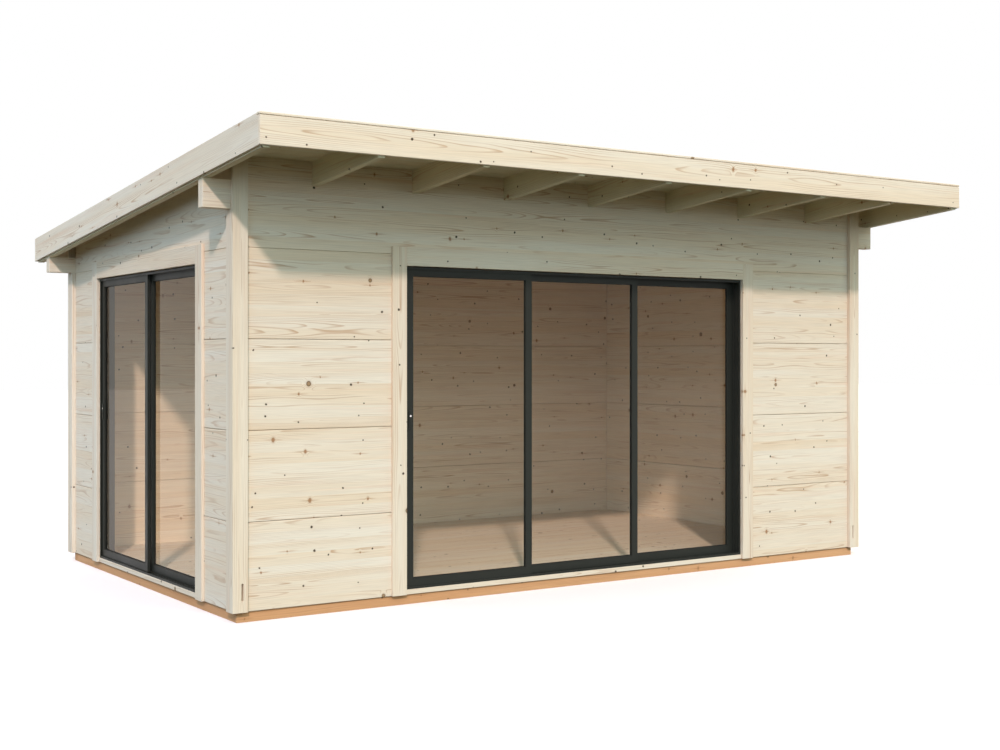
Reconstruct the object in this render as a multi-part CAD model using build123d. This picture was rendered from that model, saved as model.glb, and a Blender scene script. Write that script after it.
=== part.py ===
"""A garden house with a lean-to roof, in millimetres.

X runs along the front from left to right, Y from front to back and Z up. The origin is on the ground, under the
middle of the roof. The house stands on brown base beams. Its walls are boards between corner posts, a wide
three-leaf sliding door fills the front and a two-leaf one the left side, and nine rafters carry the roof.
"""

import math
import os

from build123d import *

# Base and floor
house_length = 5200.0
house_depth = 3110.0
base_height = 63.0
base_width = 70.0
joist_width = 45.0
joist_count = 8
floor_thickness = 28.0

# Walls, built in courses of wide boards, with the top seam a little above the doorways
wall_thickness = 70.0
wall_proud = 14.0
seam_above_doorway = 71.0

# Corner posts, grooved for the tongues on the wall ends
post_proud = 28.0
groove_width = 12.0
groove_depth = 12.0
slot_lift = 69.0
slot_height = 102.0

# Roof
roof_pitch = 5.08
front_overhang = 855.0
rear_overhang = 258.0
side_overhang = 234.0
fascia_height = 175.0
fascia_thickness = 20.0
fascia_lip = 21.0
cap_thickness = 17.0
cap_width = 45.0
roof_board_thickness = 18.0
rafter_width = 45.0
rafter_depth = 145.0
rafter_count = 9
front_plate_end_height = 171.0
rear_plate_end_height = 110.0

# Doorways and their casings
front_frame_width = 2865.0
side_frame_width = 1912.0
door_frame_height = 2037.0
front_door_offset = -30.0
side_door_offset = -32.0
sill_height = 31.0
fit_gap = 5.0
casing_width = 102.0
casing_thickness = 20.0
head_casing_height = 118.0

# Aluminium door frames
frame_setback = 4.0
frame_lip_height = 15.0
frame_lip_depth = 6.0
frame_web = 5.0
fin_height = 8.0
fin_thickness = 2.0
back_lip_depth = 4.0

# Sliding leaves
leaf_thickness = 20.0
leaf_side_gap = 6.0
leaf_edge_gap = 6.0
leaf_lift = 8.0
leaf_overlap = 30.0
stile_width = 50.0
top_rail_height = 45.0
bottom_rail_height = 54.0
glass_thickness = 5.0
glass_setback = 12.0
glass_bite = 8.0
hook_width = 4.0
hook_depth = 7.0
hook_inset = 12.0
roller_radius = 9.0
roller_width = 6.0
roller_gap = 0.3
roller_inset = 120.0

# Pulls and lock cylinders
pull_height = 120.0
pull_width = 22.0
pull_thickness = 6.0
pull_centre_height = 1165.0
lock_radius = 6.5
lock_length = 2.0
lock_rise = 23.0
pull_setover = 2.0

# A corner post is as deep as the wall is thick, plus what stands out
post_size = post_proud + wall_thickness

# Plan lines, worked out from the sizes above
roof_depth = front_overhang + house_depth + rear_overhang
base_left = -house_length / 2
base_right = house_length / 2
base_front = -roof_depth / 2 + front_overhang
base_rear = base_front + house_depth
wall_left = base_left - wall_proud
wall_right = base_right + wall_proud
wall_front = base_front - wall_proud
wall_rear = base_rear + wall_proud
post_left = wall_left - post_proud
post_right = wall_right + post_proud
post_front = wall_front - post_proud
post_rear = wall_rear + post_proud
roof_left = base_left - side_overhang
roof_right = base_right + side_overhang
roof_front = -roof_depth / 2
roof_rear = roof_depth / 2

# Heights
wall_bottom = base_height
frame_bottom = wall_bottom + sill_height
opening_top = frame_bottom + door_frame_height + fit_gap
top_seam = opening_top + seam_above_doorway

# Roof layers, measured straight down from the top edge of the fascias
slope = math.tan(math.radians(roof_pitch))
upright = 1 / math.cos(math.radians(roof_pitch))
board_top_drop = fascia_lip
rafter_top_drop = board_top_drop + roof_board_thickness * upright
rafter_bottom_drop = rafter_top_drop + rafter_depth * upright

# The rear wall plate carries the rafters, and the roof rises from there to the front
roof_front_height = top_seam + rear_plate_end_height + rafter_bottom_drop + slope * (wall_rear - roof_front)


def roof_height(y, drop=0.0):
    """Height of the sloping fascia top at y, less a drop measured straight down."""
    return roof_front_height - slope * (y - roof_front) - drop


def box(x_low, x_high, y_low, y_high, z_low, z_high):
    """A plain box between two corners."""
    middle = Pos((x_low + x_high) / 2, (y_low + y_high) / 2, (z_low + z_high) / 2)
    return middle * Box(x_high - x_low, y_high - y_low, z_high - z_low)


def side_profile(x_low, x_high, points):
    """An outline of (y, z) points carried along X."""
    outline = Plane.YZ.offset(x_low) * Polygon(*points, align=None)
    return extrude(outline, amount=x_high - x_low)


def sloped_slab(x_low, x_high, y_low, y_high, top_drop, bottom_drop):
    """A board under the roof slope, with plumb-cut ends."""
    points = [
        (y_low, roof_height(y_low, bottom_drop)),
        (y_high, roof_height(y_high, bottom_drop)),
        (y_high, roof_height(y_high, top_drop)),
        (y_low, roof_height(y_low, top_drop)),
    ]
    return side_profile(x_low, x_high, points)


def under_roof_boards(x_low, x_high, y_low, y_high, z_low):
    """A piece that stands on z_low and is cut off along the underside of the roof boards."""
    points = [
        (y_low, z_low),
        (y_high, z_low),
        (y_high, roof_height(y_high, rafter_top_drop)),
        (y_low, roof_height(y_low, rafter_top_drop)),
    ]
    return side_profile(x_low, x_high, points)


def save(name, *solids):
    """Write one sub-part, of one solid or of several that don't touch."""
    shape = solids[0] if len(solids) == 1 else Compound(children=list(solids))
    export_step(shape, "parts/" + name + ".step")


os.makedirs("parts", exist_ok=True)

# Base beams: front and rear run through, the side beams fit between them
inner_base_front = base_front + base_width
inner_base_rear = base_rear - base_width
save("base_front", box(base_left, base_right, base_front, inner_base_front, 0, base_height))
save("base_rear", box(base_left, base_right, inner_base_rear, base_rear, 0, base_height))
save("base_left", box(base_left, base_left + base_width, inner_base_front, inner_base_rear, 0, base_height))
save("base_right", box(base_right - base_width, base_right, inner_base_front, inner_base_rear, 0, base_height))

joist_pitch = (house_length - 2 * base_width + joist_width) / (joist_count + 1)
joists = []
for number in range(1, joist_count + 1):
    joist_left = base_left + base_width - joist_width + number * joist_pitch
    joists.append(box(joist_left, joist_left + joist_width, inner_base_front, inner_base_rear, 0, base_height))
save("floor_joists", *joists)

# Doorways: each frame stands on a sill board, with the same gap all round it
front_frame_centre = front_door_offset
front_frame_left = front_frame_centre - front_frame_width / 2
front_frame_right = front_frame_centre + front_frame_width / 2
side_frame_centre = (base_front + base_rear) / 2 + side_door_offset
side_frame_front = side_frame_centre - side_frame_width / 2
side_frame_rear = side_frame_centre + side_frame_width / 2


def frame_depth(tracks):
    """Depth of a door frame, from its front lip to the back of its inner lip."""
    leaves = tracks * leaf_thickness + (tracks - 1) * (2 * leaf_side_gap)
    return frame_lip_depth + leaf_side_gap + leaves + leaf_side_gap + back_lip_depth


front_sill = box(
    front_frame_left - fit_gap,
    front_frame_right + fit_gap,
    wall_front,
    wall_front + frame_setback + frame_depth(3),
    wall_bottom,
    frame_bottom,
)
side_sill = box(
    wall_left,
    wall_left + frame_setback + frame_depth(2),
    side_frame_front - fit_gap,
    side_frame_rear + fit_gap,
    wall_bottom,
    frame_bottom,
)
save("front_sill", front_sill)
save("side_sill", side_sill)

room_left = wall_left + wall_thickness
room_right = wall_right - wall_thickness
room_front = wall_front + wall_thickness
room_rear = wall_rear - wall_thickness
floor = box(room_left, room_right, room_front, room_rear, base_height, base_height + floor_thickness)
save("floor_boards", floor - front_sill - side_sill)


def corner_post(from_left, from_front):
    """A square post, grooved on the two faces that the walls meet. A slot near its foot runs through from the
    outer face to the side wall's groove. Its outer leg goes on up past the end of the wall plate."""
    x_out = post_left if from_left else post_right
    y_out = post_front if from_front else post_rear
    inward_x = 1 if from_left else -1
    inward_y = 1 if from_front else -1

    def post_box(u_low, u_high, v_low, v_high, z_low, z_high):
        xs = sorted((x_out + inward_x * u_low, x_out + inward_x * u_high))
        ys = sorted((y_out + inward_y * v_low, y_out + inward_y * v_high))
        return box(xs[0], xs[1], ys[0], ys[1], z_low, z_high)

    shoulder = front_plate_end_bottom if from_front else top_seam
    groove_low = post_proud + wall_thickness / 2 - groove_width / 2
    groove_high = groove_low + groove_width
    groove_floor = post_size - groove_depth
    post = post_box(0, post_size, 0, post_size, wall_bottom, shoulder)
    post -= post_box(groove_floor, post_size, groove_low, groove_high, wall_bottom, shoulder)
    post -= post_box(groove_low, groove_high, groove_floor, post_size, wall_bottom, shoulder)
    slot_bottom = wall_bottom + slot_lift
    post -= post_box(groove_low, groove_high, 0, groove_floor, slot_bottom, slot_bottom + slot_height)
    leg_x = sorted((x_out, x_out + inward_x * post_size))
    leg_y = sorted((y_out, y_out + inward_y * post_proud))
    return post + under_roof_boards(leg_x[0], leg_x[1], leg_y[0], leg_y[1], shoulder)


# The ends of the front wall plate reach out over the posts and carry the outer rafters
plate_left = roof_left + fascia_thickness
plate_right = roof_right - fascia_thickness
front_plate_end_bottom = roof_height(wall_front, rafter_bottom_drop) - front_plate_end_height

save("corner_post_front_left", corner_post(True, True))
save("corner_post_front_right", corner_post(False, True))
save("corner_post_rear_left", corner_post(True, False))
save("corner_post_rear_right", corner_post(False, False))

# Rafters, evenly spaced, with the outer two against the side fascias
rafter_front = roof_front + fascia_thickness
rafter_rear = roof_rear - fascia_thickness
rafter_pitch = (plate_right - plate_left - rafter_width) / (rafter_count - 1)
rafters = []
for number in range(rafter_count):
    rafter_left = plate_left + number * rafter_pitch
    rafters.append(
        sloped_slab(
            rafter_left,
            rafter_left + rafter_width,
            rafter_front,
            rafter_rear,
            rafter_top_drop,
            rafter_bottom_drop,
        )
    )
save("rafters", *rafters)
roof_boards = sloped_slab(
    plate_left, plate_right, rafter_front, rafter_rear, board_top_drop, rafter_top_drop
)
save("roof_boards", roof_boards)

# Fascias: the front one runs through under a cap strip, and the side ones butt against front and rear
front_fascia = box(
    roof_left,
    roof_right,
    roof_front,
    rafter_front,
    roof_front_height - fascia_height,
    roof_front_height - cap_thickness,
)
front_cap = box(
    roof_left,
    roof_right,
    roof_front,
    roof_front + cap_width,
    roof_front_height - cap_thickness,
    roof_front_height,
)
rear_fascia = box(
    roof_left,
    roof_right,
    rafter_rear,
    roof_rear,
    roof_height(roof_rear, fascia_height),
    roof_height(roof_rear),
)
left_fascia = sloped_slab(roof_left, plate_left, rafter_front, rafter_rear, 0, fascia_height) - front_cap
right_fascia = sloped_slab(plate_right, roof_right, rafter_front, rafter_rear, 0, fascia_height) - front_cap
save("front_fascia", front_fascia)
save("front_cap", front_cap)
save("rear_fascia", rear_fascia)
save("left_fascia", left_fascia)
save("right_fascia", right_fascia)

# Front and rear walls, between the posts, with a tongue on each end
tongue_front = wall_front + wall_thickness / 2 - groove_width / 2
tongue_rear = wall_rear - wall_thickness / 2 - groove_width / 2
post_inner_left = post_left + post_size
post_inner_right = post_right - post_size
post_inner_front = post_front + post_size
post_inner_rear = post_rear - post_size
opening_left = front_frame_left - fit_gap
opening_right = front_frame_right + fit_gap


def tongue_along_y(x_low, x_high, y_low, z_low, z_high):
    """The tongue of a front or rear wall, in line with the middle of its thickness."""
    return box(x_low, x_high, y_low, y_low + groove_width, z_low, z_high)


front_wall_left = box(post_inner_left, opening_left, wall_front, room_front, wall_bottom, top_seam)
front_wall_left += tongue_along_y(
    post_inner_left - groove_depth, post_inner_left, tongue_front, wall_bottom, top_seam
)
front_wall_right = box(opening_right, post_inner_right, wall_front, room_front, wall_bottom, top_seam)
front_wall_right += tongue_along_y(
    post_inner_right, post_inner_right + groove_depth, tongue_front, wall_bottom, top_seam
)
save("front_wall_left", front_wall_left)
save("front_wall_right", front_wall_right)

# The top course bridges the doorway, is notched for the rafters and has the plate ends
front_wall_top = under_roof_boards(post_inner_left, post_inner_right, wall_front, room_front, top_seam)
front_wall_top += box(opening_left, opening_right, wall_front, room_front, opening_top, top_seam)
for tongue_low, tongue_high in (
    (post_inner_left - groove_depth, post_inner_left),
    (post_inner_right, post_inner_right + groove_depth),
):
    front_wall_top += tongue_along_y(tongue_low, tongue_high, tongue_front, top_seam, front_plate_end_bottom)


def plate_end(x_low, x_high, y_low, y_high, z_low):
    """One end of a wall plate, level with the underside of the rafters."""
    points = [
        (y_low, z_low),
        (y_high, z_low),
        (y_high, roof_height(y_high, rafter_bottom_drop)),
        (y_low, roof_height(y_low, rafter_bottom_drop)),
    ]
    return side_profile(x_low, x_high, points)


front_wall_top += plate_end(plate_left, post_inner_left, wall_front, room_front, front_plate_end_bottom)
front_wall_top += plate_end(post_inner_right, plate_right, wall_front, room_front, front_plate_end_bottom)

rear_wall = box(post_inner_left, post_inner_right, room_rear, wall_rear, wall_bottom, top_seam)
rear_wall += tongue_along_y(post_inner_left - groove_depth, post_inner_left, tongue_rear, wall_bottom, top_seam)
rear_wall += tongue_along_y(post_inner_right, post_inner_right + groove_depth, tongue_rear, wall_bottom, top_seam)
save("rear_wall", rear_wall)

rear_wall_plate = under_roof_boards(post_inner_left, post_inner_right, room_rear, wall_rear, top_seam)
rear_wall_plate += plate_end(plate_left, post_inner_left, room_rear, wall_rear, top_seam)
rear_wall_plate += plate_end(post_inner_right, plate_right, room_rear, wall_rear, top_seam)

for rafter in rafters:
    front_wall_top -= rafter
    rear_wall_plate -= rafter
save("front_wall_top", front_wall_top)
save("rear_wall_plate", rear_wall_plate)

# Side walls, whose top courses follow the slope up to the roof boards
tongue_left = wall_left + wall_thickness / 2 - groove_width / 2
tongue_right = wall_right - wall_thickness / 2 - groove_width / 2
side_opening_front = side_frame_front - fit_gap
side_opening_rear = side_frame_rear + fit_gap


def tongue_along_x(x_low, y_low, y_high, z_low, z_high):
    """The tongue of a side wall, in line with the middle of its thickness."""
    return box(x_low, x_low + groove_width, y_low, y_high, z_low, z_high)


left_wall_front = box(wall_left, room_left, post_inner_front, side_opening_front, wall_bottom, top_seam)
left_wall_front += tongue_along_x(
    tongue_left, post_inner_front - groove_depth, post_inner_front, wall_bottom, top_seam
)
left_wall_rear = box(wall_left, room_left, side_opening_rear, post_inner_rear, wall_bottom, top_seam)
left_wall_rear += tongue_along_x(
    tongue_left, post_inner_rear, post_inner_rear + groove_depth, wall_bottom, top_seam
)
save("left_wall_front", left_wall_front)
save("left_wall_rear", left_wall_rear)


def side_wall_top(x_low, x_high, tongue_low):
    """The top course of a side wall: it meets the posts below the plates, and the plates above."""
    top = under_roof_boards(x_low, x_high, room_front, room_rear, top_seam)
    top += tongue_along_x(
        tongue_low, post_inner_front - groove_depth, post_inner_front, top_seam, front_plate_end_bottom
    )
    return top


left_wall_top = side_wall_top(wall_left, room_left, tongue_left)
left_wall_top += box(wall_left, room_left, side_opening_front, side_opening_rear, opening_top, top_seam)
save("left_wall_top", left_wall_top)

right_wall = box(room_right, wall_right, post_inner_front, post_inner_rear, wall_bottom, top_seam)
right_wall += tongue_along_x(
    tongue_right, post_inner_front - groove_depth, post_inner_front, wall_bottom, top_seam
)
right_wall += tongue_along_x(
    tongue_right, post_inner_rear, post_inner_rear + groove_depth, wall_bottom, top_seam
)
right_wall += side_wall_top(room_right, wall_right, tongue_right)
save("right_wall", right_wall)

# Casings: boards on the wall face, round both doorways
casing_bottom = wall_bottom
casing_top = opening_top + head_casing_height
casing_front = wall_front - casing_thickness
front_casing_sides = [
    box(opening_left - casing_width, opening_left, casing_front, wall_front, casing_bottom, casing_top),
    box(opening_right, opening_right + casing_width, casing_front, wall_front, casing_bottom, casing_top),
]
save("front_casing_sides", *front_casing_sides)
save(
    "front_casing_head",
    box(opening_left, opening_right, casing_front, wall_front, opening_top, casing_top),
)

casing_left = wall_left - casing_thickness
side_casing_sides = [
    box(casing_left, wall_left, side_opening_front - casing_width, side_opening_front, casing_bottom, casing_top),
    box(casing_left, wall_left, side_opening_rear, side_opening_rear + casing_width, casing_bottom, casing_top),
]
save("side_casing_sides", *side_casing_sides)
save(
    "side_casing_head",
    box(casing_left, wall_left, side_opening_front, side_opening_rear, opening_top, casing_top),
)


# Doors. Each is made in its own plane first: u runs across it from the first leaf, v into the wall and w up.
def track_offset(track):
    """Depth of a leaf's outer face behind the face of its frame."""
    return frame_lip_depth + leaf_side_gap + track * (leaf_thickness + 2 * leaf_side_gap)


def door_frame(length, height, tracks):
    """Two jambs, and a head and a track bar between them. Every bar is a web with a lip on each edge and a thin
    fin between one track and the next."""
    depth = frame_depth(tracks)
    lip = frame_lip_height
    ring = box(0, length, 0, depth, 0, height) - box(lip, length - lip, 0, depth, lip, height - lip)
    fin_inset = frame_web + fin_height
    for track in range(tracks):
        channel_front = track_offset(track) - leaf_side_gap
        channel_back = track_offset(track) + leaf_thickness + leaf_side_gap
        if track > 0:
            channel_front += fin_thickness / 2
            fin_front = channel_front - fin_thickness
            ring -= box(
                fin_inset, length - fin_inset, fin_front, channel_front, fin_inset, height - fin_inset
            )
        if track < tracks - 1:
            channel_back -= fin_thickness / 2
        ring -= box(
            frame_web, length - frame_web, channel_front, channel_back, frame_web, height - frame_web
        )
    first_jamb = ring & box(0, lip, 0, depth, 0, height)
    last_jamb = ring & box(length - lip, length, 0, depth, 0, height)
    head = ring & box(lip, length - lip, 0, depth, height - lip, height)
    track_bar = ring & box(lip, length - lip, 0, depth, 0, lip)
    return first_jamb, last_jamb, head, track_bar


def leaf_frame(width, height, hooked):
    """One leaf: two stiles and two rails round a grooved opening, on two half-sunk rollers. A hooked leaf has a
    strip on the back of its last stile that closes the gap to the leaf behind."""
    ring = box(0, width, 0, leaf_thickness, 0, height)
    ring -= box(
        stile_width, width - stile_width, 0, leaf_thickness, bottom_rail_height, height - top_rail_height
    )
    ring -= leaf_glass(width, height)
    for u in (roller_inset, width - roller_inset):
        centre = Pos(u, leaf_thickness / 2, roller_gap - leaf_lift + roller_radius)
        ring += centre * Rot(90, 0, 0) * Cylinder(roller_radius, roller_width)
    if hooked:
        ring += box(
            width - hook_inset - hook_width,
            width - hook_inset,
            leaf_thickness,
            leaf_thickness + hook_depth,
            hook_inset,
            height - hook_inset,
        )
    return ring


def leaf_glass(width, height):
    """The pane, held in the groove of the stiles and rails."""
    return box(
        stile_width - glass_bite,
        width - stile_width + glass_bite,
        glass_setback,
        glass_setback + glass_thickness,
        bottom_rail_height - glass_bite,
        height - top_rail_height + glass_bite,
    )


def pull(u_centre, z_centre):
    """A flat pull with rounded ends on the face of a stile, and the lock cylinder in it."""
    plate = extrude(Plane.XZ * SlotOverall(pull_height, pull_width, rotation=90), amount=pull_thickness)
    cylinder = Pos(0, -pull_thickness, lock_rise) * Rot(90, 0, 0) * Cylinder(
        lock_radius, lock_length, align=(Align.CENTER, Align.CENTER, Align.MIN)
    )
    return Pos(u_centre, 0, z_centre) * (plate + cylinder)


def leaf_place(track, number, width):
    """Where the leaf stands in its frame: the track sets its depth, its number how far across it is."""
    across = frame_web + leaf_edge_gap + number * (width - leaf_overlap)
    return Pos(across, track_offset(track), frame_web + leaf_lift)


def leaf_width(frame_width, leaves):
    """Leaves of equal width that lap each other and share what the two jambs leave."""
    between = frame_width - 2 * (frame_web + leaf_edge_gap)
    return (between + (leaves - 1) * leaf_overlap) / leaves


leaf_height = door_frame_height - 2 * frame_web - leaf_lift - leaf_edge_gap
pull_across = frame_web + leaf_edge_gap + stile_width / 2 + pull_setover


def save_door(prefix, place, frame_width, leaf_names, pull_leaf):
    """Write the frame, the leaves with their panes, and the pull on one leaf."""
    tracks = len(leaf_names)
    first_jamb, last_jamb, head, track_bar = door_frame(frame_width, door_frame_height, tracks)
    save(prefix + "_door_jambs", place * first_jamb, place * last_jamb)
    save(prefix + "_door_rails", place * head, place * track_bar)
    width = leaf_width(frame_width, tracks)
    for number, name in enumerate(leaf_names):
        leaf = place * leaf_place(number, number, width)
        hooked = number < tracks - 1
        save(prefix + "_leaf_" + name, leaf * leaf_frame(width, leaf_height, hooked))
        save(prefix + "_glass_" + name, leaf * leaf_glass(width, leaf_height))
        if name == pull_leaf:
            pull_up = pull_centre_height - frame_bottom
            save(prefix + "_door_pull", place * Pos(0, track_offset(number), 0) * pull(pull_across, pull_up))


front_place = Pos(front_frame_left, wall_front + frame_setback, frame_bottom)
save_door("front", front_place, front_frame_width, ("left", "middle", "right"), "left")
side_place = Pos(wall_left + frame_setback, side_frame_rear, frame_bottom) * Rot(0, 0, -90)
save_door("side", side_place, side_frame_width, ("rear", "front"), "rear")
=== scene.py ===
"""A garden house of pale spruce with a lean-to roof and sliding glass doors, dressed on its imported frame.

The sections follow the house as it is put together: base, floor, posts, walls, roof, casings, doors, pulls.
"""

import math

import bmesh
import bpy
import numpy as np
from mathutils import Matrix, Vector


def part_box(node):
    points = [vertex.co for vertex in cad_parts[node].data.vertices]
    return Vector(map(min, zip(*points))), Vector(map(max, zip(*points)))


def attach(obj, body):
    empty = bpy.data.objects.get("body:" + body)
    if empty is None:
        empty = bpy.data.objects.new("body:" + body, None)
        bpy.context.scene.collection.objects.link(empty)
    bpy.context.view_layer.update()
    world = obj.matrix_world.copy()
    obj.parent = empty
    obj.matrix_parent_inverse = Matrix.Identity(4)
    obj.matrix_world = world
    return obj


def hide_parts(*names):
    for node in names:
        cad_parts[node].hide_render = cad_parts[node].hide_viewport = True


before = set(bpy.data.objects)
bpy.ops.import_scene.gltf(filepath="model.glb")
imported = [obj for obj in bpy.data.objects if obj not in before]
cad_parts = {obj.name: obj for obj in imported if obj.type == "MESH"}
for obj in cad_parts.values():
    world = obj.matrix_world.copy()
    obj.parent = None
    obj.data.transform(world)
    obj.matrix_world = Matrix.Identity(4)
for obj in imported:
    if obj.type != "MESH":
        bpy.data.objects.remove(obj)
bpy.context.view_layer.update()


# Camera
# It stands off the front left corner at eye level and looks level, with its view shifted down a little.
camera_place = (-5.886, -8.952, 1.551)
camera_turn = math.radians(33.76)
lens_mm = 50.52
sensor_mm = 36.0
view_shift = -0.01637


def in_scene(name, data):
    """A new object of this name, linked to the scene."""
    made = bpy.data.objects.new(name, data)
    bpy.context.scene.collection.objects.link(made)
    return made


camera_data = bpy.data.cameras.new("camera")
camera_data.lens = lens_mm
camera_data.sensor_width = sensor_mm
camera_data.shift_y = view_shift
camera = in_scene("camera", camera_data)
camera.location = camera_place
camera.rotation_euler = (math.pi / 2, 0.0, -camera_turn)
bpy.context.scene.camera = camera
bpy.context.scene.view_settings.view_transform = "Standard"


# Light, sky and ground
# A low soft sun from the front left makes the shadow of the overhang, a pale sky fills the shaded sides, and
# the ground is a plain pale sheet.
sun_direction = (0.3336, 0.5505, -0.4124)
sun_strength = 2.0
sun_colour = (1.0, 0.87, 0.82)
sun_softness = math.radians(3.0)
sky_colour = (1.17, 1.37, 1.36)
sky_slopes = ((0.20, -0.13, -0.28), (0.05, -0.23, -0.28), (-0.16, -0.24, -0.28))
white = (1.0, 1.0, 1.0, 1.0)
ground_half = 60.0
ground_fill = (0.040, 0.038, 0.014, 1.0)
ground_seen = (0.90, 0.79, 0.80, 1.0)
ground_lift = 0.22


def feed(tree, socket, value):
    """Link a socket to another one, or set it to a plain value. None leaves it as it is."""
    if isinstance(value, bpy.types.NodeSocket):
        tree.links.new(value, socket)
    elif value is not None:
        socket.default_value = value


def add(tree, kind, *values, **settings):
    """Add a node, set its properties, then feed its inputs in order."""
    made = tree.nodes.new(kind)
    for key, value in settings.items():
        setattr(made, key, value)
    for socket, value in zip(made.inputs, values):
        feed(tree, socket, value)
    return made


def math_node(tree, operation, *values):
    """The result of one sum of plain numbers or sockets."""
    return add(tree, "ShaderNodeMath", *values, operation=operation).outputs[0]


def seen_directly(tree):
    """One where the eye, a mirror or glass looks, and zero for light that only fills."""
    path = tree.nodes.new("ShaderNodeLightPath")
    either = math_node(tree, "MAXIMUM", path.outputs["Is Camera Ray"], path.outputs["Is Glossy Ray"])
    return math_node(tree, "MAXIMUM", either, path.outputs["Is Transmission Ray"])


def blank_material(name):
    """A material without nodes, and its node tree."""
    made = bpy.data.materials.new(name)
    made.use_nodes = True
    made.node_tree.nodes.clear()
    return made, made.node_tree


sun_data = bpy.data.lights.new("sun", "SUN")
sun_data.energy = sun_strength
sun_data.color = sun_colour
sun_data.angle = sun_softness
sun = in_scene("sun", sun_data)
turn = math.atan2(-sun_direction[0], sun_direction[1])
tilt = math.atan2(math.hypot(sun_direction[0], sun_direction[1]), -sun_direction[2])
sun.rotation_euler = (tilt, 0.0, turn)

# Each channel of the sky has its own level, which grows along its slant: level + level * (heading . slant)
world = bpy.data.worlds.new("sky")
world.use_nodes = True
bpy.context.scene.world = world
sky = world.node_tree
sky.nodes.clear()
heading = sky.nodes.new("ShaderNodeTexCoord").outputs["Generated"]
channels = []
for level, slant in zip(sky_colour, sky_slopes):
    brighter = add(sky, "ShaderNodeVectorMath", heading, slant, operation="DOT_PRODUCT").outputs["Value"]
    channels.append(math_node(sky, "MULTIPLY_ADD", brighter, level, level))
fill_colour = add(sky, "ShaderNodeCombineColor", *channels).outputs[0]
fill = add(sky, "ShaderNodeBackground", fill_colour, 1.0)
backdrop = add(sky, "ShaderNodeBackground", white, 1.0)
sky_mix = add(sky, "ShaderNodeMixShader", seen_directly(sky), fill.outputs[0], backdrop.outputs[0])
add(sky, "ShaderNodeOutputWorld", sky_mix.outputs[0])

ground_mesh = bpy.data.meshes.new("ground")
ground_corners = np.array([(-1, -1, 0), (1, -1, 0), (1, 1, 0), (-1, 1, 0)]) * ground_half
ground_mesh.from_pydata(ground_corners.tolist(), [], [(0, 1, 2, 3)])
ground = in_scene("ground", ground_mesh)
ground_look, tree = blank_material("pale_ground")
plain = add(tree, "ShaderNodeBsdfDiffuse", ground_fill)
paler = add(tree, "ShaderNodeBsdfDiffuse", ground_seen)
lift = add(tree, "ShaderNodeEmission", white, ground_lift)
paler = add(tree, "ShaderNodeAddShader", paler.outputs[0], lift.outputs[0])
ground_mix = add(tree, "ShaderNodeMixShader", seen_directly(tree), plain.outputs[0], paler.outputs[0])
add(tree, "ShaderNodeOutputMaterial", ground_mix.outputs[0])
ground_mesh.materials.append(ground_look)


# Base beams and joists
# Planed spruce, impregnated brown, laid on the ground. The front and rear beams run through, and the side
# beams and the joists are cut to fit between them.
brown_line = (0.38, 0.165, 0.065, 1.0)
brown = ((0.74, 0.42, 0.225, 1.0), (0.64, 0.32, 0.155, 1.0), brown_line, brown_line)
brown_ring_strength = 0.4
brown_knot_strength = 0.7
one_board = 0.5
arris = 0.0015
same_point = 1e-5
same_face = 1e-4
flat_angle = math.radians(1.0)
sharp_angle = math.radians(65.0)
random = np.random.default_rng(7)

# What all the wood shares. Waves are for each metre along the grain, to the side and in depth. The heart's
# pairs are to the side and in depth. Other pairs are where a change starts and ends, and its two results may
# follow.
fibre_waves = (5.0, 210.0, 210.0)
band_waves = (0.45, 9.0, 9.0)
streak_waves = (0.9, 26.0, 26.0)
ring_waves = (1.6, 22.0, 22.0)
fading_waves = (0.8, 11.0, 11.0)
heart_waves = (0.6, 0.0, 0.0)
knot_waves = (24.0, 60.0, 60.0)
board_numbers = 999.0
board_shift = 1.37
cell_shift = 91.0
heart_rest = (0.035, 0.075)
heart_spread = (0.045, 0.09)
heart_wander = (0.07, 0.10)
ring_least = 0.0050
ring_more = 0.0045
ring_waver = 1.3
late_wood = (0.62, 0.92)
ring_end = (0.93, 1.0)
ring_fading = (0.42, 0.62, 0.12, 1.0)
knot_waver_along = 0.008
knot_waver_across = 0.006
knot_push_reach = 4.0
great_knot_push = 2.5
ruddy_knot_push = 1.2
knot_dark = (0.036, 0.018, 0.008, 1.0)
knot_heart = (0.30, 0.17, 0.075, 1.0)
knot_ruddy = (0.33, 0.155, 0.068, 1.0)
knot_core = (0.8, 1.15)
knot_rim = (0.9, 2.1)
bark_inner = (0.62, 0.92)
bark_outer = (0.92, 1.2)
bark_strength = 0.75
stain_length = (0.015, 0.12)
stain_height = (0.0010, 0.0050)
stain_strength = 0.60
band_change = (0.35, 0.68)
streak_change = (0.55, 0.75)
streak_strength = 0.30
fibre_shade = (0.25, 0.75, 0.94, 1.04)
fibre_roughness = (0.2, 0.8, 0.52, 0.68)
fibre_relief = 0.35
ring_relief = 0.65
wood_bump = (0.25, 0.0006)
wood_specular = 0.1


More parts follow.
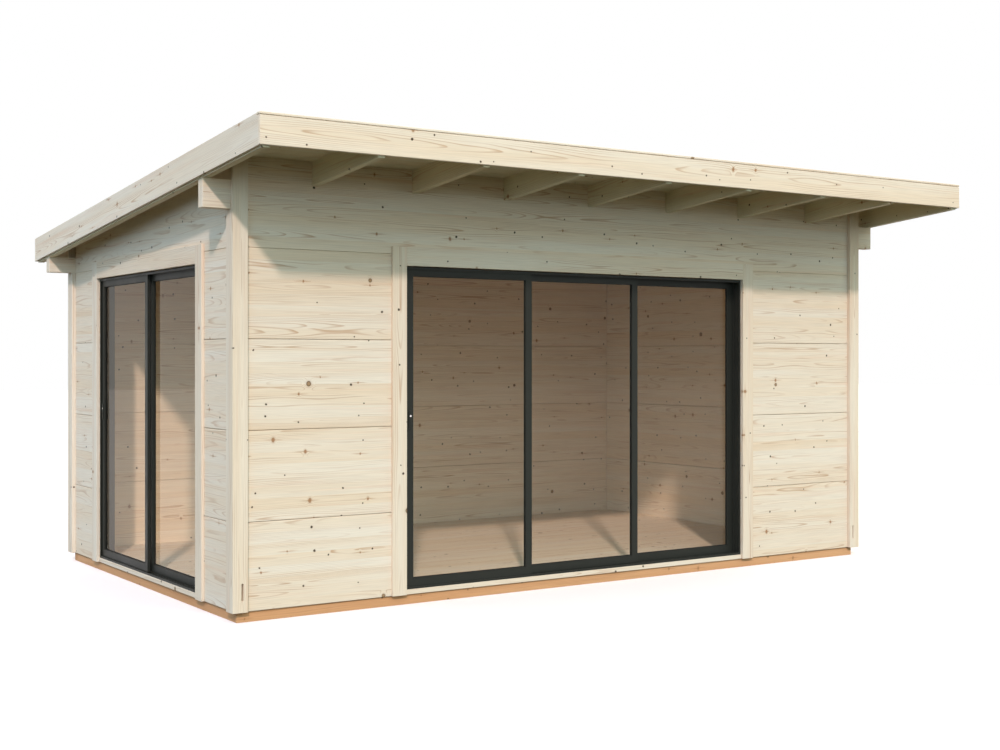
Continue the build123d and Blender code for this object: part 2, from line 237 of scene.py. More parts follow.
def timbers(name, lows, highs, along, cut=arris, place=None):
    """Straight timbers as one mesh. Each is a rectangle with its four corners planed off, carried along one
    axis and drawn in at both ends: point = middle + sign * (half size - cut where the corner is taken off).
    place, if given, moves the finished points, as the roof slope does."""
    lows = np.atleast_2d(np.array(lows, float))
    highs = np.atleast_2d(np.array(highs, float))
    middles, halves = (lows + highs) / 2, (highs - lows) / 2
    across, up = (along + 1) % 3, (along + 2) % 3
    ring_across = np.array([1, 1, 1, 1, -1, -1, -1, -1.0])
    ring_up = np.array([-1, -1, 1, 1, 1, 1, -1, -1.0])
    taken_across = np.array([1, 0, 0, 1, 1, 0, 0, 1.0])
    taken_up = 1 - taken_across
    at_end = np.array([1, 0, 0, 1.0])[:, None]
    station = np.array([-1, -1, 1, 1.0])[:, None]
    count = len(lows)
    points = np.empty((count, 4, 8, 3))
    half = halves[:, None, None, :]
    points[..., across] = ring_across * (half[..., across] - cut * (taken_across + at_end))
    points[..., up] = ring_up * (half[..., up] - cut * (taken_up + at_end))
    points[..., along] = station * (half[..., along] - cut * (1 - at_end))
    points = (points + middles[:, None, None, :]).reshape(-1, 3)
    if place is not None:
        points = place(points)
    row, column = np.meshgrid(np.arange(3), np.arange(8), indexing="ij")
    after = (column + 1) % 8
    sides = np.stack([row * 8 + column, row * 8 + after, row * 8 + 8 + after, row * 8 + 8 + column], -1)
    first = np.arange(count)[:, None] * 32
    quads = (first[:, None] + sides.reshape(-1, 4)).reshape(-1, 4).tolist()
    ends = np.concatenate([first + np.arange(8)[::-1], first + 24 + np.arange(8)]).tolist()
    mesh = bpy.data.meshes.new(name)
    mesh.from_pydata(points.tolist(), [], quads + ends)
    board = mesh.attributes.new("board", "FLOAT", "POINT")
    board.data.foreach_set("value", np.repeat(random.random(count), 32).astype(np.float32))
    return in_scene(name, mesh)


def wood(name, along, across, colours, across_cell, depth_cell, rake=0.0, ring_strength=0.68,
         knot_strength=1.0):
    """Softwood by its own rules, in metres. Each board or glued strip is one cell, with the heart of its log
    somewhere near it: ring number = distance to the heart / ring width. The heart wanders along the grain,
    so the rings leave the face as long arches and eyes. Knots stand at the points of flat cell patterns and
    push the rings round themselves, and the ruddy ones leave a long stain along the grain. Fine fibres and
    broad bands of tone lie over all. The colours are pale, warm, ring line and flush. A cell is (middle,
    width), and rake is how far the grain drops for each metre of depth."""
    pale, warm, line, flush = colours
    look, tree = blank_material(name)

    def calc(operation, *values):
        """The result of one sum in this material."""
        return math_node(tree, operation, *values)

    # Where a point lies: its board and cell, and how far along the grain, to the side and deep it is
    spot = tree.nodes.new("ShaderNodeTexCoord").outputs["Object"]
    x, y, z = add(tree, "ShaderNodeSeparateXYZ", spot).outputs
    axes = (x, y, calc("MULTIPLY_ADD", y, rake, z))
    board = add(tree, "ShaderNodeAttribute", attribute_name="board").outputs["Fac"]
    number = calc("ROUND", calc("MULTIPLY", board, board_numbers))
    length = calc("MULTIPLY_ADD", number, board_shift, axes[along])
    side, depth = axes[across], axes[3 - along - across]

    def within_cell(value, middle, width):
        """The cell's whole number and the distance from its middle."""
        shifted = calc("SUBTRACT", value, middle)
        index = calc("ROUND", calc("DIVIDE", shifted, width))
        return index, calc("SUBTRACT", shifted, calc("MULTIPLY", index, width))

    side_index, side_local = within_cell(side, *across_cell)
    depth_index, depth_local = within_cell(depth, *depth_cell)
    cell = add(tree, "ShaderNodeCombineXYZ", side_index, depth_index, number).outputs[0]
    drawn = add(tree, "ShaderNodeTexWhiteNoise", cell)
    chance = drawn.outputs["Value"]
    chances = add(tree, "ShaderNodeSeparateColor", drawn.outputs["Color"]).outputs
    own_length = calc("ADD", length, calc("MULTIPLY", chance, cell_shift))
    place = add(tree, "ShaderNodeCombineXYZ", own_length, side, depth).outputs[0]

    def noise(waves, output="Fac"):
        """Soft noise with so many waves a metre along the grain, to the side and in depth."""
        stretched = add(tree, "ShaderNodeVectorMath", place, waves, operation="MULTIPLY").outputs[0]
        return add(tree, "ShaderNodeTexNoise", stretched, None, 1.0, 2.0, 0.5).outputs[output]

    def step(value, low, high, low_result=0.0, high_result=1.0):
        """A smooth step from one result to the other."""
        return add(tree, "ShaderNodeMapRange", value, low, high, low_result, high_result,
                   interpolation_type="SMOOTHSTEP").outputs[0]

    def blend(factor, first, second, kind="MIX"):
        """The first colour with the second laid over it."""
        mixed = add(tree, "ShaderNodeMix", factor, data_type="RGBA", blend_type=kind)
        feed(tree, mixed.inputs[6], first)
        feed(tree, mixed.inputs[7], second)
        return mixed.outputs[2]

    # Knots: the cell pattern lies on length and on side plus depth, so it wraps round a timber's edges
    wavering = noise(knot_waves)
    bent = calc("MULTIPLY_ADD", wavering, knot_waver_across, calc("ADD", side, depth))
    bent_length = calc("MULTIPLY_ADD", wavering, knot_waver_along, length)

    def knots(cells, least, most, share, squeeze=1.0, bunching=4.0):
        """Distance to the nearest knot over its radius, the point and the knot as places, and one where the
        knot is missing. A metre holds so many cells, share of them hold a knot, and radius = least + (most -
        least) * chance to the power of bunching. squeeze is the knot's length along the grain over its
        height."""
        flat = add(tree, "ShaderNodeCombineXYZ", calc("DIVIDE", bent_length, squeeze), bent).outputs[0]
        nearest = add(tree, "ShaderNodeTexVoronoi", flat, None, cells, voronoi_dimensions="2D")
        luck = add(tree, "ShaderNodeSeparateColor", nearest.outputs["Color"]).outputs
        size = calc("POWER", luck[0], bunching)
        radius = calc("MULTIPLY_ADD", size, (most - least) * cells, least * cells)
        missing = calc("GREATER_THAN", luck[1], share)
        ratio = calc("DIVIDE", nearest.outputs["Distance"], radius)
        ratio = calc("MULTIPLY_ADD", missing, 99.0, ratio)
        return ratio, (flat, nearest.outputs["Position"]), missing

    dark = knots(cells=3.9, least=0.0045, most=0.0085, share=0.80, bunching=1.7)[0]
    ruddy, places, missing = knots(cells=2.9, least=0.0055, most=0.0155, share=0.50, squeeze=0.70,
                                   bunching=2.2)
    great = knots(cells=1.45, least=0.011, most=0.017, share=0.55)[0]

    # A ruddy knot leaves a stain on both sides of it, long along the grain and only millimetres high
    away = add(tree, "ShaderNodeVectorMath", *places, operation="SUBTRACT").outputs[0]
    away = add(tree, "ShaderNodeSeparateXYZ", away).outputs
    near = step(calc("ABSOLUTE", away[0]), *stain_length, 1.0, 0.0)
    level = step(calc("ABSOLUTE", away[1]), *stain_height, 1.0, 0.0)
    stain = calc("MULTIPLY", calc("MULTIPLY", near, level), calc("SUBTRACT", 1.0, missing))

    # Rings round the heart, which each board's chance and the wandering move
    wander = add(tree, "ShaderNodeSeparateColor", noise(heart_waves, "Color")).outputs

    def off_heart(way, local):
        """Distance from the heart one way: local + rest - (chance - a half) * spread - wandering."""
        heart = calc("MULTIPLY", calc("SUBTRACT", chances[way], 0.5), heart_spread[way])
        heart = calc("MULTIPLY_ADD", wander[way], heart_wander[way], heart)
        return calc("SUBTRACT", calc("ADD", local, heart_rest[way]), heart)

    off = add(tree, "ShaderNodeCombineXYZ", off_heart(0, side_local), off_heart(1, depth_local)).outputs[0]
    from_heart = add(tree, "ShaderNodeVectorMath", off, operation="LENGTH").outputs["Value"]
    ring_width = calc("MULTIPLY_ADD", chances[2], ring_more, ring_least)
    push = calc("ADD", step(great, 0.0, knot_push_reach, great_knot_push, 0.0),
                step(ruddy, 0.0, knot_push_reach, ruddy_knot_push, 0.0))
    rings = calc("ADD", calc("DIVIDE", from_heart, ring_width), push)
    rings = calc("MULTIPLY_ADD", noise(ring_waves), ring_waver, rings)
    part = calc("FRACT", rings)
    ring = calc("MULTIPLY", step(part, *late_wood), step(part, *ring_end, 1.0, 0.0))
    ring = calc("MULTIPLY", ring, step(noise(fading_waves), *ring_fading))

    # Colour: tone and flush, then rings, stains and fibres, and the knots on top
    fibre = noise(fibre_waves)
    band = step(noise(band_waves), *band_change)
    streak = step(noise(streak_waves), *streak_change)
    colour = blend(calc("MULTIPLY_ADD", chance, 0.5, calc("MULTIPLY", band, 0.5)), pale, warm)
    colour = blend(calc("MULTIPLY", streak, streak_strength), colour, flush)
    colour = blend(calc("MULTIPLY", ring, ring_strength), colour, line)
    colour = blend(calc("MULTIPLY", stain, stain_strength * knot_strength), colour, line)
    shade = step(fibre, *fibre_shade)
    grey = add(tree, "ShaderNodeCombineColor", shade, shade, shade).outputs[0]
    colour = blend(1.0, colour, grey, "MULTIPLY")
    for knot, core_colour, rim_strength, core_strength in ((ruddy, knot_ruddy, 0.35, 0.80),
                                                           (great, knot_heart, 0.30, 0.85),
                                                           (dark, knot_dark, 0.12, 0.92)):
        rim = calc("MULTIPLY", step(knot, *knot_rim, 1.0, 0.0), rim_strength * knot_strength)
        colour = blend(rim, colour, line)
        core = calc("MULTIPLY", step(knot, *knot_core, 1.0, 0.0), core_strength * knot_strength)
        colour = blend(core, colour, core_colour)
    bark = calc("MULTIPLY", step(great, *bark_inner), step(great, *bark_outer, 1.0, 0.0))
    colour = blend(calc("MULTIPLY", bark, bark_strength * knot_strength), colour, knot_dark)

    bump = add(tree, "ShaderNodeBump", *wood_bump)
    relief = calc("MULTIPLY_ADD", fibre, fibre_relief, calc("MULTIPLY", ring, ring_relief))
    feed(tree, bump.inputs["Height"], relief)
    shader = tree.nodes.new("ShaderNodeBsdfPrincipled")
    feed(tree, shader.inputs["Base Color"], colour)
    feed(tree, shader.inputs["Roughness"], step(fibre, *fibre_roughness))
    feed(tree, shader.inputs["Normal"], bump.outputs[0])
    shader.inputs["Specular IOR Level"].default_value = wood_specular
    add(tree, "ShaderNodeOutputMaterial", shader.outputs[0])
    return look


def dress(piece, look, body, slot, *nodes):
    """Give a new piece its finish and its body, and let it stand for the nodes. slot is not used."""
    piece.data.materials.clear()
    piece.data.materials.append(look)
    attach(piece, body)
    if nodes:
        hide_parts(*nodes)


def planed(node, look, body="house", slot="spruce", cut=arris, above=None, joint=None):
    """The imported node's own shape with its corners planed off. Its mesh is copied, doubles are merged, flat
    faces are joined, and each sharp edge gives way to a narrow flat, cut wide. above keeps what is higher.
    joint = (x, y, half width, depth) draws a V down the face at y where two boards meet: its middle line
    moves in by depth. Each solid is a board of its own: every corner takes the lowest number among its
    neighbours until none changes."""
    shape = bmesh.new()
    shape.from_mesh(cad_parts[node].data)
    bmesh.ops.remove_doubles(shape, verts=shape.verts, dist=same_point)

    def cut_through(point, normal, **keep):
        """Cut every face that the plane crosses."""
        everything = shape.verts[:] + shape.edges[:] + shape.faces[:]
        bmesh.ops.bisect_plane(shape, geom=everything, plane_co=point, plane_no=normal, **keep)

    if above is not None:
        cut_through((0, 0, above), (0, 0, 1), clear_inner=True)
        bmesh.ops.holes_fill(shape, edges=shape.edges)
    bmesh.ops.dissolve_limit(shape, angle_limit=flat_angle, verts=shape.verts, edges=shape.edges)
    if joint is not None:
        joint_x, joint_y, joint_half, joint_depth = joint
        for offset in (-joint_half, 0.0, joint_half):
            cut_through((joint_x + offset, 0, 0), (1, 0, 0))
    bmesh.ops.recalc_face_normals(shape, faces=shape.faces)
    mesh = bpy.data.meshes.new(node + "_planed")
    shape.to_mesh(mesh)
    shape.free()
    count = len(mesh.vertices)
    if joint is not None:
        points = np.empty(count * 3)
        mesh.vertices.foreach_get("co", points)
        points = points.reshape(-1, 3)
        on_line = (abs(points[:, 0] - joint_x) < same_point) & (abs(points[:, 1] - joint_y) < same_face)
        points[on_line, 1] -= np.sign(joint_y) * joint_depth
        mesh.vertices.foreach_set("co", points.ravel())
    ends = np.empty(len(mesh.edges) * 2, int)
    mesh.edges.foreach_get("vertices", ends)
    first, second = ends.reshape(-1, 2).T
    label, lower = np.full(count, -1), np.arange(count)
    while (lower != label).any():
        label = lower.copy()
        np.minimum.at(lower, first, label[second])
        np.minimum.at(lower, second, label[first])
    solid = np.unique(label, return_inverse=True)[1]
    board = mesh.attributes.new("board", "FLOAT", "POINT")
    board.data.foreach_set("value", random.random(solid.max() + 1)[solid].astype(np.float32))
    piece = in_scene(node + "_planed", mesh)
    plane = piece.modifiers.new("planed", "BEVEL")
    plane.width = cut
    plane.segments = 1
    plane.limit_method = "ANGLE"
    plane.angle_limit = sharp_angle
    dress(piece, look, body, slot, node)
    return piece


def box_of(node):
    """The lowest and highest corner of a node, as arrays."""
    low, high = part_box(node)
    return np.array(low), np.array(high)


base_low, base_high = box_of("base_front")
beam_cell = ((base_low[2] + base_high[2]) / 2, one_board)
front_beam_middle = (base_low[1] + base_high[1]) / 2
rear_beam_middle = sum(corner[1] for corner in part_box("base_rear")) / 2
side_beam_middle = sum(corner[0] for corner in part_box("base_right")) / 2
brown_x = wood("brown_timber_x", 0, 2, brown, beam_cell,
               (front_beam_middle, rear_beam_middle - front_beam_middle),
               ring_strength=brown_ring_strength, knot_strength=brown_knot_strength)
brown_y = wood("brown_timber_y", 1, 2, brown, beam_cell, (side_beam_middle, 2 * side_beam_middle),
               ring_strength=brown_ring_strength, knot_strength=brown_knot_strength)
for node, look, along in (("base_front", brown_x, 0), ("base_rear", brown_x, 0),
                          ("base_left", brown_y, 1), ("base_right", brown_y, 1)):
    low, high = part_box(node)
    dress(timbers(node + "_beam", low, high, along), look, "house", "brown_timber", node)
planed("floor_joists", brown_y, slot="brown_timber")


# Floor
# Tongued spruce boards, laid along the house across the joists, with a fine groove between one and the next.
# Two short boards fill the front edge, left and right of the sill.
spruce_line = (0.50, 0.272, 0.145, 1.0)
spruce_flush = (0.76, 0.495, 0.34, 1.0)
floor_spruce = ((0.83, 0.75, 0.67, 1.0), (0.80, 0.67, 0.53, 1.0), spruce_line, spruce_flush)
floor_board_width = 0.12
floor_cut = 0.0008
floor_cell_drop = 0.03


def board_rows(low, high, first_edge, last_edge, width):
    """Boards side by side from one edge to the other along y: their lowest and highest corners, and the
    cell of the first."""
    rows = max(1, round((last_edge - first_edge) / width))
    edges = np.linspace(first_edge, last_edge, rows + 1)
    lows = np.column_stack([np.full(rows, low[0]), edges[:-1], np.full(rows, low[2])])
    highs = np.column_stack([np.full(rows, high[0]), edges[1:], np.full(rows, high[2])])
    return lows, highs, ((edges[0] + edges[1]) / 2, edges[1] - edges[0])


floor_low, floor_high = box_of("floor_boards")
front_sill_low, front_sill_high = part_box("front_sill")
side_sill_low, side_sill_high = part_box("side_sill")
floor_lows, floor_highs, floor_cell = board_rows(floor_low, floor_high, front_sill_high[1], floor_high[1],
                                                 floor_board_width)
beside_sill = (floor_highs[:, 1] > side_sill_low[1]) & (floor_lows[:, 1] < side_sill_high[1])
floor_lows[beside_sill, 0] = side_sill_high[0]
short_lows = [floor_low, (front_sill_high[0], floor_low[1], floor_low[2])]
short_highs = [(front_sill_low[0], front_sill_high[1], floor_high[2]),
               (floor_high[0], front_sill_high[1], floor_high[2])]
spruce_floor = wood("spruce_floor", 0, 1, floor_spruce, floor_cell,
                    (floor_high[2] - floor_cell_drop, one_board))
floor = timbers("floor", np.vstack([floor_lows, short_lows]), np.vstack([floor_highs, short_highs]), 0,
                floor_cut)
dress(floor, spruce_floor, "house", "spruce", "floor_boards")


# Corner posts
# Square spruce posts made of two boards each, grooved for the walls, with a slot near the foot. The joint of
# the boards shows as a fine line on the front and rear faces.
spruce = ((0.83, 0.722, 0.615, 1.0), (0.80, 0.632, 0.475, 1.0), spruce_line, spruce_flush)
post_joint_in = 0.030
post_joint_half = 0.0012
post_joint_depth = 0.0007

post_low, post_high = box_of("corner_post_front_left")
post_width = post_high[0] - post_low[0]
post_x = -(post_low[0] + post_high[0]) / 2
post_y = sum(corner[1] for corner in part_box("corner_post_rear_left")) / 2
front_post_y = (post_low[1] + post_high[1]) / 2
spruce_post = wood("spruce_post", 2, 0, spruce, (post_x, 2 * post_x), (post_y, post_y - front_post_y))
for node in ("corner_post_front_left", "corner_post_front_right",
             "corner_post_rear_left", "corner_post_rear_right"):
    low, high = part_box(node)
    joint_x = low[0] + post_joint_in if "left" in node else high[0] - post_joint_in
    joint_y = low[1] if "front" in node else high[1]
    planed(node, spruce_post, joint=(joint_x, joint_y, post_joint_half, post_joint_depth))


# Wall boards
# Wide boards glued up from narrow strips, one on another, tongued into the posts. Their long edges are
# planed off, so that each joint shows as a fine dark line. The top boards carry the rafters.
course_seams = (0.587, 1.127, 1.667)
seam_cut = 0.003
seam_gap = 0.0025
tongue_width = 0.020
strip_height = 0.0675
wall_depth_cell = (0.0, 0.14)
side_ring_strength = 0.45

strip_cell = (course_seams[0] + strip_height / 2, strip_height)
spruce_x = wood("spruce_x", 0, 2, spruce, strip_cell, wall_depth_cell)
spruce_y = wood("spruce_y", 1, 2, spruce, strip_cell, wall_depth_cell, ring_strength=side_ring_strength)
post_inner_x = post_low[0] + post_width
post_inner_front = post_low[1] + post_width
post_inner_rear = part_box("corner_post_rear_left")[1][1] - post_width
top_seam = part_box("rear_wall")[1][2]


def courses(name, low, high, along, look, *nodes):
    """The boards of one wall panel, cut at the seams that all walls share, with a tongue in every seam."""
    levels = np.array([low[2], *course_seams, top_seam])
    lows, highs = np.repeat([low], 4, 0), np.repeat([high], 4, 0)
    lows[:, 2], highs[:, 2] = levels[:-1] + seam_gap / 2, levels[1:] - seam_gap / 2
    lows[0, 2] = low[2]
    across = 1 - along
    middle = (low[across] + high[across]) / 2
    tongue_lows, tongue_highs = lows.copy(), highs.copy()
    tongue_lows[:, 2], tongue_highs[:, 2] = highs[:, 2] - seam_gap, levels[1:] + seam_gap
    tongue_lows[:, across], tongue_highs[:, across] = middle - tongue_width / 2, middle + tongue_width / 2
    boards = timbers(name, np.vstack([lows, tongue_lows]), np.vstack([highs, tongue_highs]), along, seam_cut)
    dress(boards, look, "house", "spruce", *nodes)


low, high = box_of("front_wall_left")
low[0] = post_inner_x
courses("front_boards_left", low, high, 0, spruce_x, "front_wall_left")
low, high = box_of("front_wall_right")
high[0] = -post_inner_x
courses("front_boards_right", low, high, 0, spruce_x, "front_wall_right")
low, high = box_of("rear_wall")
low[0], high[0] = post_inner_x, -post_inner_x
courses("rear_boards", low, high, 0, spruce_x, "rear_wall")
low, high = box_of("left_wall_front")
low[1] = post_inner_front
courses("left_boards_front", low, high, 1, spruce_y, "left_wall_front")
low, high = box_of("left_wall_rear")
high[1] = post_inner_rear
courses("left_boards_rear", low, high, 1, spruce_y, "left_wall_rear")
low, high = box_of("right_wall")
low[1], high[1] = post_inner_front, post_inner_rear
courses("right_boards", low, high, 1, spruce_y)
planed("right_wall", spruce_y, cut=seam_cut, above=top_seam)
planed("front_wall_top", spruce_x, cut=seam_cut)
planed("rear_wall_plate", spruce_x, cut=seam_cut)
planed("left_wall_top", spruce_y, cut=seam_cut)


# Roof
# Planed rafters under tongued boards that run along the house and are greyer on top. Fascia boards go round
# all four edges, and the front one has a cap strip with a fine gap under it. The rafters and the undersides
# of the boards take a darker, olive spruce: painted shade of the overhang.
# Darker, more olive spruce for the parts under the eaves: painted shade of the overhang.
eaves_spruce_painted_shade = ((0.77, 0.72, 0.55, 1.0), (0.73, 0.63, 0.44, 1.0), spruce_line, spruce_flush)
grey_spruce = ((0.60, 0.55, 0.46, 1.0), (0.56, 0.49, 0.38, 1.0), spruce_line, spruce_flush)
roof_ring_strength = 0.4
roof_board_width = 0.121
roof_board_cut = 0.0018
cap_cut = 0.003
cap_gap = 0.0025
rafter_cell_drop = 0.07
rafter_pitch = 0.698
fascia_cell_drop = 0.09
fascia_cell_height = 0.30
side_fascia_cell = (0.0, 0.31)
fascia_heart_in_front = 0.03
roof_cell_drop = 0.04
facing_up = 0.5

cap_low, cap_high = box_of("front_cap")
fascia_low, fascia_high = box_of("front_fascia")
rear_high = box_of("rear_fascia")[1]
slope = (cap_high[2] - rear_high[2]) / (rear_high[1] - cap_low[1])
rafters_low, rafters_high = box_of("rafters")
roof_low, roof_high = box_of("roof_boards")
side_fascia_low, side_fascia_high = box_of("left_fascia")
rafter_level = rafters_high[2] + slope * rafters_low[1] - rafter_cell_drop
fascia_level = side_fascia_high[2] + slope * side_fascia_low[1] - fascia_cell_drop
board_level = roof_high[2] + slope * roof_low[1]
board_thickness = roof_high[2] - roof_low[2] - slope * (roof_high[1] - roof_low[1])

# The rafters carry the painted shade of the overhang in their colour.
spruce_rafter = wood("spruce_rafter", 1, 2, eaves_spruce_painted_shade, (rafter_level, one_board),
                     (rafters_low[0], rafter_pitch), slope, roof_ring_strength)
spruce_side_fascia = wood("spruce_side_fascia", 1, 2, spruce, (fascia_level, one_board), side_fascia_cell,
                          slope)
spruce_fascia = wood("spruce_fascia", 0, 2, spruce,
                     ((fascia_low[2] + fascia_high[2]) / 2, fascia_cell_height),
                     (fascia_low[1] - fascia_heart_in_front, rear_high[1] - fascia_low[1]))
planed("rafters", spruce_rafter)
for node in ("left_fascia", "right_fascia"):
    planed(node, spruce_side_fascia)
for node in ("front_fascia", "rear_fascia"):
    planed(node, spruce_fascia, cut=cap_cut)
planed("front_cap", spruce_fascia, cut=cap_cut, above=cap_low[2] + cap_gap)


def on_the_slope(points):
    """Each point drops by the slope times its distance back."""
    points[:, 2] -= slope * points[:, 1]
    return points


def per_face(piece, what):
    """The middle or the normal of each face, as rows."""
    values = np.empty(len(piece.data.polygons) * 3)
    piece.data.polygons.foreach_get(what, values)
    return values.reshape(-1, 3)


def second_finish(piece, look, chosen):
    """Give the chosen faces another finish."""
    piece.data.materials.append(look)
    piece.data.polygons.foreach_set("material_index", chosen.astype(np.int32))


roof_lows, roof_highs, roof_cell = board_rows((roof_low[0], 0, board_level - board_thickness),
                                              (roof_high[0], 0, board_level), roof_low[1], roof_high[1],
                                              roof_board_width)
roof_depth_cell = (board_level - roof_cell_drop, one_board)
# The boards' undersides and edges carry the painted shade of the overhang; their tops are greyer.
spruce_roof = wood("spruce_roof", 0, 1, eaves_spruce_painted_shade, roof_cell, roof_depth_cell, slope, roof_ring_strength)
spruce_top = wood("spruce_roof_top", 0, 1, grey_spruce, roof_cell, roof_depth_cell, slope,
                  roof_ring_strength)
boarding = timbers("roof_boarding", roof_lows, roof_highs, 0, roof_board_cut, on_the_slope)
dress(boarding, spruce_roof, "house", "spruce", "roof_boards")
second_finish(boarding, spruce_top, per_face(boarding, "normal")[:, 2] > facing_up)


# Casings and sills
# Planed spruce boards round both doorways, and a board under each door frame.
casing_heart_in = 0.04
head_heart_in = 0.035

front_casing_low = box_of("front_casing_sides")[0]
side_casing_low = box_of("side_casing_sides")[0]
casing_width = front_sill_low[0] - front_casing_low[0]
front_casing_pitch = front_sill_high[0] - front_sill_low[0] + casing_width
side_casing_pitch = side_sill_high[1] - side_sill_low[1] + casing_width
head_low, head_high = box_of("front_casing_head")
head_cell = ((head_low[2] + head_high[2]) / 2, one_board)
spruce_front_casing = wood("spruce_front_casing", 2, 0, spruce,
                           (front_casing_low[0] + casing_width / 2, front_casing_pitch),
                           (front_casing_low[1] + casing_heart_in, one_board))
spruce_side_casing = wood("spruce_side_casing", 2, 1, spruce,
                          (side_casing_low[1] + casing_width / 2, side_casing_pitch),
                          (side_casing_low[0] + casing_heart_in, one_board))
spruce_front_head = wood("spruce_front_head", 0, 2, spruce, head_cell,
                         (front_casing_low[1] + head_heart_in, one_board))
spruce_side_head = wood("spruce_side_head", 1, 2, spruce, head_cell,
                        (side_casing_low[0] + head_heart_in, one_board))
planed("front_casing_head", spruce_front_head)
planed("side_casing_head", spruce_side_head)
planed("front_casing_sides", spruce_front_casing)
planed("side_casing_sides", spruce_side_casing)
planed("front_sill", spruce_x)
planed("side_sill", spruce_y)


# Sliding doors
# Anthracite powder-coated aluminium frames and leaves, each leaf with one clear pane in black rubber seals.
# A pane mirrors on its outer side only, by the angle of view, and lets the rest through.
anthracite = (0.0245, 0.0255, 0.0215, 1.0)
coat_grit = (900.0, 2.0, 0.6)
coat_bump = (0.15, 0.0002)
rubber_black = (0.012, 0.012, 0.012, 1.0)
pane_tint = (0.98, 0.955, 0.915, 1.0)
mirror_tint = (0.78, 0.75, 0.70, 1.0)
mirror_share = 0.8
glass_index = 1.5
metal_cut = 0.0006
seal_width = 0.004
seal_proud = 0.0015
seal_cut = 0.0003
glass_bite = 0.008
bar_web = 0.005
bar_lip = 0.015
bar_lip_depth = 0.004


def even_finish(name, colour, specular, drift, roughness, metallic=0.0):
    """A finish of one colour whose roughness drifts from one value to the other with soft noise. drift is
    that noise's scale, detail and own roughness."""
    look = bpy.data.materials.new(name)
    look.use_nodes = True
    tree = look.node_tree
    shader = tree.nodes["Principled BSDF"]
    shader.inputs["Base Color"].default_value = colour
    shader.inputs["Specular IOR Level"].default_value = specular
    shader.inputs["Metallic"].default_value = metallic
    spot = tree.nodes.new("ShaderNodeTexCoord").outputs["Object"]
    cloud = add(tree, "ShaderNodeTexNoise", spot, None, *drift).outputs[0]
    drifting = add(tree, "ShaderNodeMapRange", cloud, 0.3, 0.7, *roughness).outputs[0]
    feed(tree, shader.inputs["Roughness"], drifting)
    return look, shader, spot


coat, shader, spot = even_finish("anthracite_coat", anthracite, specular=0.15, drift=(6.0, 3.0, 0.5),
                                 roughness=(0.40, 0.52))
grit = add(coat.node_tree, "ShaderNodeTexNoise", spot, None, *coat_grit).outputs[0]
fine = add(coat.node_tree, "ShaderNodeBump", *coat_bump)
feed(coat.node_tree, fine.inputs["Height"], grit)
feed(coat.node_tree, shader.inputs["Normal"], fine.outputs[0])
rubber = even_finish("black_rubber", rubber_black, specular=0.25, drift=(140.0, 3.0, 0.6),
                     roughness=(0.62, 0.80))[0]

pane, tree = blank_material("clear_pane")
clear = add(tree, "ShaderNodeBsdfTransparent", pane_tint)
mirror = add(tree, "ShaderNodeBsdfAnisotropic", mirror_tint, 0.0)
facing = tree.nodes.new("ShaderNodeNewGeometry")
outside = math_node(tree, "SUBTRACT", 1.0, facing.outputs["Backfacing"])
fresnel = add(tree, "ShaderNodeFresnel", glass_index)
mirrored = math_node(tree, "MULTIPLY", math_node(tree, "MULTIPLY", fresnel.outputs[0], mirror_share),
                     outside)
pane_mix = add(tree, "ShaderNodeMixShader", mirrored, clear.outputs[0], mirror.outputs[0])
add(tree, "ShaderNodeOutputMaterial", pane_mix.outputs[0])

for node in ("front_door_jambs", "front_door_rails", "side_door_jambs", "side_door_rails"):
    planed(node, coat, slot="anthracite_metal", cut=metal_cut)
for door, leaf, body in (("front", "left", "front_leaf_left"), ("front", "middle", "front_leaf_middle"),
                         ("front", "right", "house"), ("side", "rear", "side_leaf_rear"),
                         ("side", "front", "house")):
    planed(door + "_leaf_" + leaf, coat, body, "anthracite_metal", metal_cut)
    glass = door + "_glass_" + leaf
    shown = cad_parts[glass]
    shown.data.materials.clear()
    shown.data.materials.append(pane)
    # A seal is four strips on each face of the pane, just inside the stiles and rails
    low, high = box_of(glass)
    across, through = (0, 1) if door == "front" else (1, 0)
    inner_low, inner_high = low + glass_bite, high - glass_bite
    strip_lows, strip_highs = [], []
    for face_low, face_high in ((low[through] - seal_proud, low[through]),
                                (high[through], high[through] + seal_proud)):
        for axis in (across, 2):
            for start, stop in ((inner_low[axis], inner_low[axis] + seal_width),
                                (inner_high[axis] - seal_width, inner_high[axis])):
                strip_low, strip_high = inner_low.copy(), inner_high.copy()
                strip_low[through], strip_high[through] = face_low, face_high
                strip_low[axis], strip_high[axis] = start, stop
                strip_lows.append(strip_low)
                strip_highs.append(strip_high)
    seal = timbers(door + "_seal_" + leaf, strip_lows, strip_highs, 2, seal_cut)
    dress(seal, rubber, body, "anthracite_metal")

# The side frame is cut from the same three-track bar as the front one, so an empty track shows behind its
# leaves: four webs, each with a lip on its room side
frame_low, frame_high = box_of("side_door_jambs")
front_frame_low, front_frame_high = box_of("front_door_jambs")
spare_back = frame_low[0] + front_frame_high[1] - front_frame_low[1]
bar_lows, bar_highs = [], []
for reach, back in ((bar_web, frame_high[0]), (bar_lip, spare_back - bar_lip_depth)):
    for start, stop in ((frame_low[1], frame_low[1] + reach), (frame_high[1] - reach, frame_high[1])):
        bar_lows.append((back, start, frame_low[2]))
        bar_highs.append((spare_back, stop, frame_high[2]))
    for start, stop in ((frame_low[2], frame_low[2] + reach), (frame_high[2] - reach, frame_high[2])):
        bar_lows.append((back, frame_low[1] + reach, start))
        bar_highs.append((spare_back, frame_high[1] - reach, stop))
spare_track = timbers("side_spare_track", bar_lows, bar_highs, 2, metal_cut)
dress(spare_track, coat, "house", "anthracite_metal")


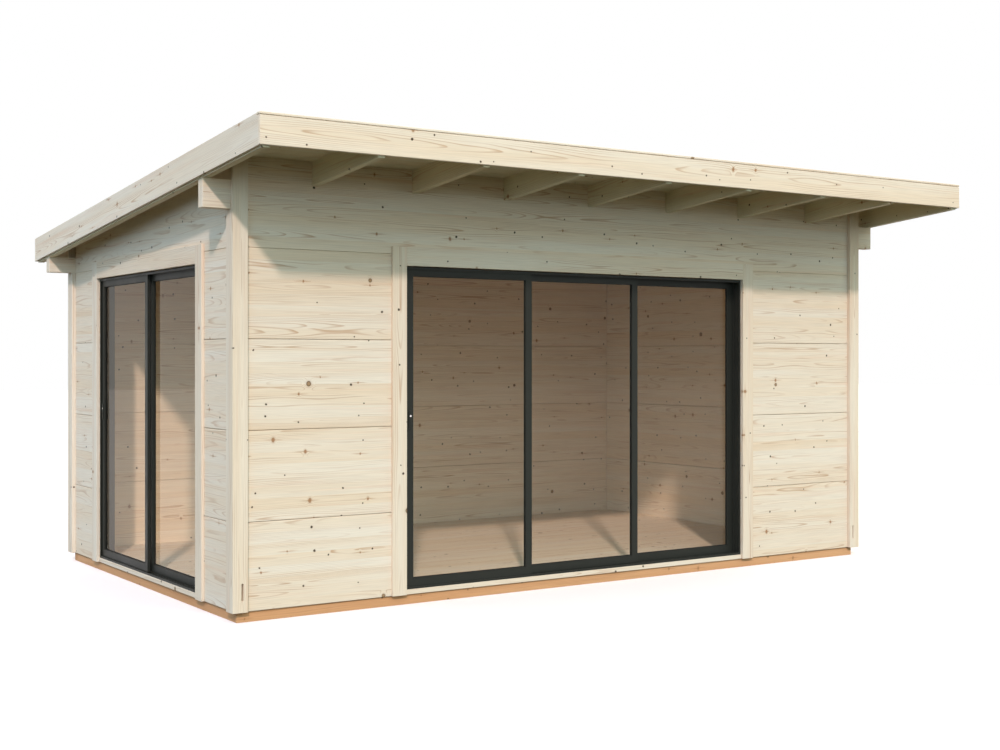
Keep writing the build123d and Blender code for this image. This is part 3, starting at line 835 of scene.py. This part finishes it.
# Pulls and lock cylinders
# A flat coated pull on the stile of each opening leaf, held by a screw, with a bright turned lock cylinder
# above its middle.
steel_bright = (0.93, 0.92, 0.90, 1.0)
pull_thickness = 0.006
off_the_plate = 0.0001
lock_rise = 0.023
screw_drop = 0.015
key_slot_width = 0.0012
key_slot_height = 0.0065
key_slot_proud = 0.0003
key_slot_cut = 0.0001
screw_profile = np.array([(0.0030, 0.0012), (0.0036, 0.0007), (0.0036, -0.0005)])
screw_sides = 24

steel = even_finish("bright_steel", steel_bright, specular=0.5, drift=(600.0, 2.0, 0.5),
                    roughness=(0.12, 0.24), metallic=1.0)[0]


def turned_piece(name, centre, across, through, profile, count):
    """A small round piece of count sides on an outer face. Each (radius, reach) of the profile is carried
    round: point = centre + radius * (cosine, sine) across and upwards, and reach outwards. Both ends are
    closed."""
    sense = 1 if through == 1 else -1
    angle = sense * np.linspace(0.0, 2 * math.pi, count, endpoint=False)
    points = np.empty((len(profile), count, 3))
    points[..., across] = centre[across] + profile[:, :1] * np.cos(angle)
    points[..., 2] = centre[2] + profile[:, :1] * np.sin(angle)
    points[..., through] = centre[through] - profile[:, 1:]
    row, column = np.meshgrid(np.arange(len(profile) - 1), np.arange(count), indexing="ij")
    after = (column + 1) % count
    sides = np.stack([row * count + count + column, row * count + count + after, row * count + after,
                      row * count + column], -1)
    last = (len(profile) - 1) * count
    ends = [list(range(count)), list(range(last + count - 1, last - 1, -1))]
    mesh = bpy.data.meshes.new(name)
    mesh.from_pydata(points.reshape(-1, 3).tolist(), [], sides.reshape(-1, 4).tolist() + ends)
    return in_scene(name, mesh)


for door, body, through in (("front", "front_leaf_left", 1), ("side", "side_leaf_rear", 0)):
    node = door + "_door_pull"
    across = 1 - through
    low, high = box_of(node)
    plate_face = high[through] - pull_thickness
    centre = (low + high) / 2
    centre[2] += lock_rise
    centre[through] = low[through]
    half = np.zeros(3)
    half[across], half[2], half[through] = key_slot_width / 2, key_slot_height / 2, key_slot_proud
    key_slot = timbers(door + "_key_slot", centre - half, centre + half, 2, key_slot_cut)
    dress(key_slot, rubber, body, "anthracite_metal")
    centre[through] = plate_face
    centre[2] = (low[2] + high[2]) / 2 - screw_drop
    screw = turned_piece(door + "_pull_screw", centre, across, through, screw_profile, screw_sides)
    dress(screw, rubber, body, "anthracite_metal")
    pull = planed(node, coat, body, "anthracite_metal", metal_cut)
    second_finish(pull, steel, per_face(pull, "center")[:, through] < plate_face - off_the_plate)
